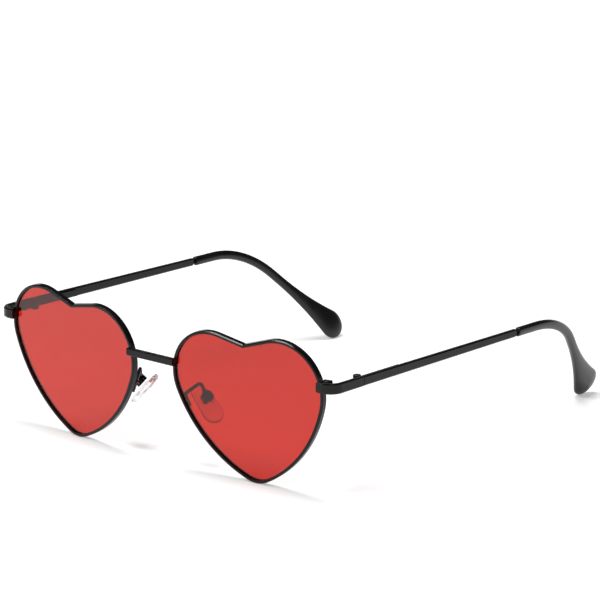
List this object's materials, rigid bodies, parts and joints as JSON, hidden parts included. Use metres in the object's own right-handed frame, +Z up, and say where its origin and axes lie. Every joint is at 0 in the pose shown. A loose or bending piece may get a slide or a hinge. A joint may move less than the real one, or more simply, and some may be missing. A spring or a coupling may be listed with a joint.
{
  "type": "heart shaped sunglasses",
  "caption": "Sunglasses with flat red heart lenses in thin black metal rims, folding wire temples with plastic ear tips and clear rocking nose pads.",
  "frame": {"origin": "on the floor that the rims' bottoms and the temple tips stand on, under the middle of the part's box", "axes": "+Z up, +Y back along the temples, +X to the wearer's left"},
  "size_m": [0.1374, 0.1508, 0.0469],
  "materials": {
    "frame_black": "semi-gloss black",
    "screw_steel": "plain turned steel",
    "lens_red": "clear tinted red, polished",
    "tip_black": "gloss black",
    "pad_clear": "clear soft silicone",
    "pad_core": "clear hard plastic"
  },
  "bodies": {
    "front": {"bridge": "frame_black", "rim_left": "frame_black", "rim_right": "frame_black", "lens_left": "lens_red", "lens_right": "lens_red", "end_piece_left": "frame_black", "end_piece_right": "frame_black", "rim_lock_upper_left": "frame_black", "rim_lock_upper_right": "frame_black", "rim_lock_lower_left": "frame_black", "rim_lock_lower_right": "frame_black", "rim_lock_screw_left": "screw_steel", "rim_lock_screw_right": "screw_steel", "front_hinge_left": "frame_black", "front_hinge_right": "frame_black", "hinge_screw_left": "screw_steel", "hinge_screw_right": "screw_steel", "pad_arm_left": "frame_black", "pad_arm_right": "frame_black", "pad_box_left": "frame_black", "pad_box_right": "frame_black", "pad_screw_left": "screw_steel", "pad_screw_right": "screw_steel"},
    "temple_left": {"temple_hinge_left": "frame_black", "temple_left": "frame_black", "temple_tip_left": "tip_black"},
    "temple_right": {"temple_hinge_right": "frame_black", "temple_right": "frame_black", "temple_tip_right": "tip_black"},
    "nose_pad_left": {"nose_pad_left": "pad_clear", "nose_pad_core_left": "pad_core"},
    "nose_pad_right": {"nose_pad_right": "pad_clear", "nose_pad_core_right": "pad_core"}
  },
  "joints": [
    {"name": "temple_left_fold", "type": "hinge", "parent": "front", "child": "temple_left", "pos_m": [0.066, -0.05682, 0.0348], "axis": [0, -0.088, 0.9961], "range_deg": [0, 88]},
    {"name": "temple_right_fold", "type": "hinge", "parent": "front", "child": "temple_right", "pos_m": [-0.066, -0.05682, 0.0348], "axis": [0, 0.088, -0.9961], "range_deg": [0, 82]},
    {"name": "nose_pad_left_rock", "type": "hinge", "parent": "front", "child": "nose_pad_left", "pos_m": [0.01375, -0.06449, 0.02136], "axis": [-0.2602, -0.9272, -0.2695], "range_deg": [-8, 8]},
    {"name": "nose_pad_right_rock", "type": "hinge", "parent": "front", "child": "nose_pad_right", "pos_m": [-0.01375, -0.06449, 0.02136], "axis": [-0.2602, 0.9272, 0.2695], "range_deg": [-8, 8]}
  ]
}
